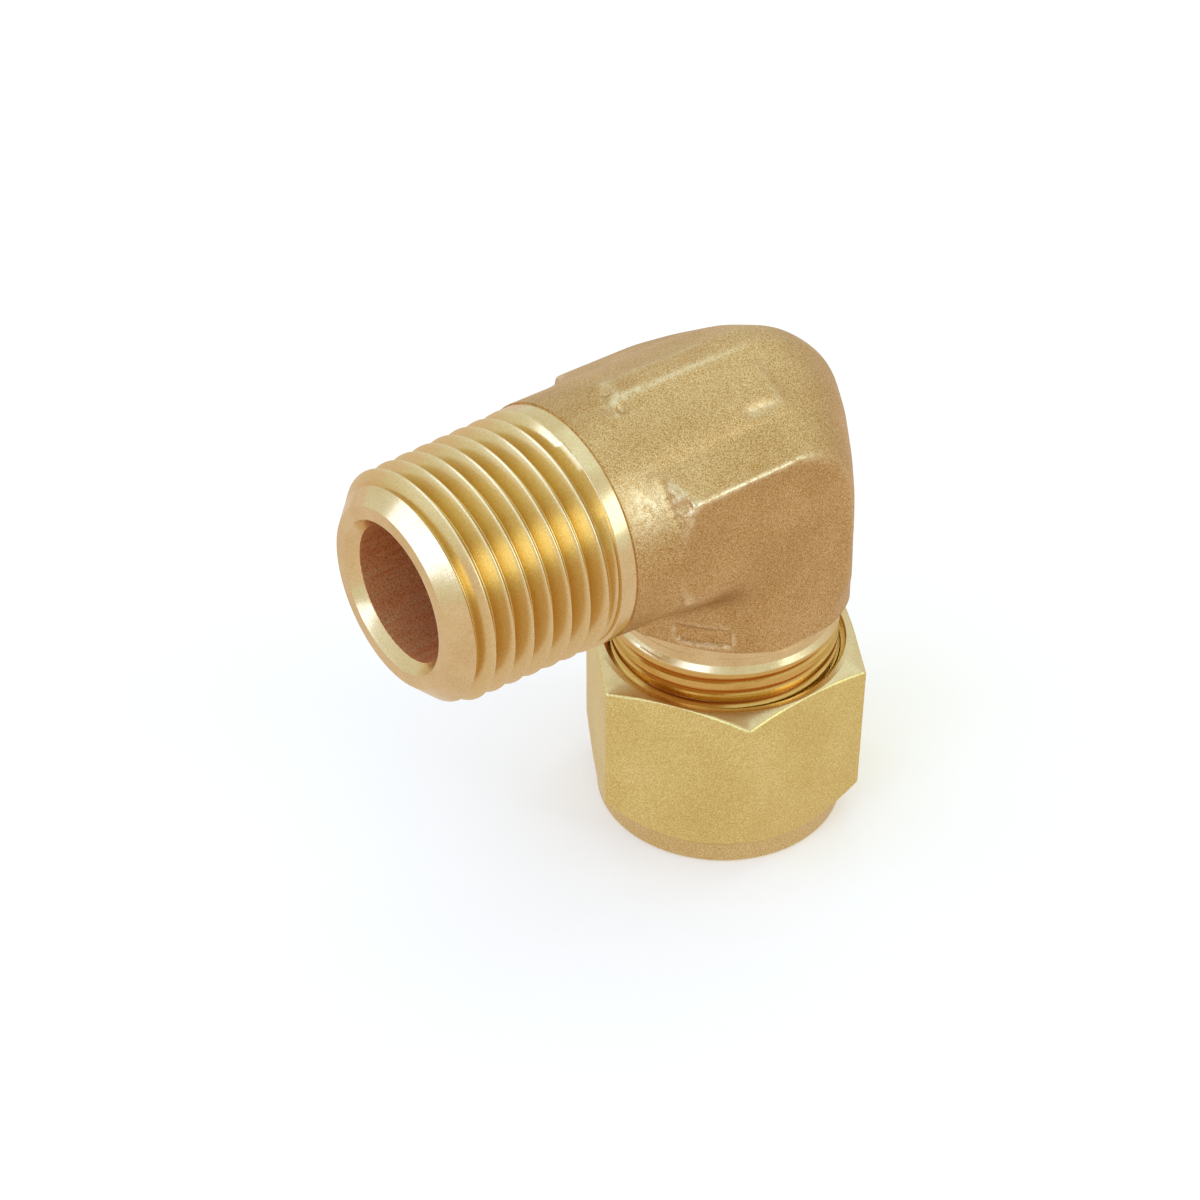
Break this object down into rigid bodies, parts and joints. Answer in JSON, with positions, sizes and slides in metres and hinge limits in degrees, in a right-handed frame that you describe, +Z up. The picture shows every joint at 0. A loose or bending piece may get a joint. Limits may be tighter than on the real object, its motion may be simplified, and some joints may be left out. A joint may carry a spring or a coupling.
{
  "type": "compression male elbow fitting",
  "caption": "Forged brass male elbow: a tapered pipe thread on one leg, and on the other a neck with a fine thread, a hexagon nut and two ferrules for a tube.",
  "frame": {"origin": "on the floor under the middle of the fitting, which stands on the tube end of its nut", "axes": "+Z up, along the nut's and neck's axis; the pipe leg points along -X; the plane of both legs is y = 0, and the wrench flats of the elbow face -Y and +Y"},
  "size_m": [0.0492, 0.0238, 0.0494],
  "materials": {
    "forged_brass": "fine blasted grain on the forging, turned and bright on the threads",
    "nut_brass": "fine blasted grain, bright thread inside",
    "turned_brass": "bright turned"
  },
  "bodies": {
    "nut": {"compression_nut": "nut_brass"},
    "ferrules": {"back_ferrule": "turned_brass", "front_ferrule": "turned_brass"},
    "elbow": {"elbow_body": "forged_brass"}
  },
  "joints": [
    {"name": "elbow_turn", "type": "hinge", "parent": "nut", "child": "ferrules", "pos_m": [0.01088, 0, 0.018], "axis": [0, 0, 1], "range_deg": [0, 2160]},
    {"name": "elbow_travel", "type": "slide", "parent": "ferrules", "child": "elbow", "axis": [0, 0, 1], "range_m": [0, 0.00762]}
  ],
  "couplings": [
    {"joint": "elbow_travel", "follows": "elbow_turn", "m_per_rad": 0.00020213}
  ]
}
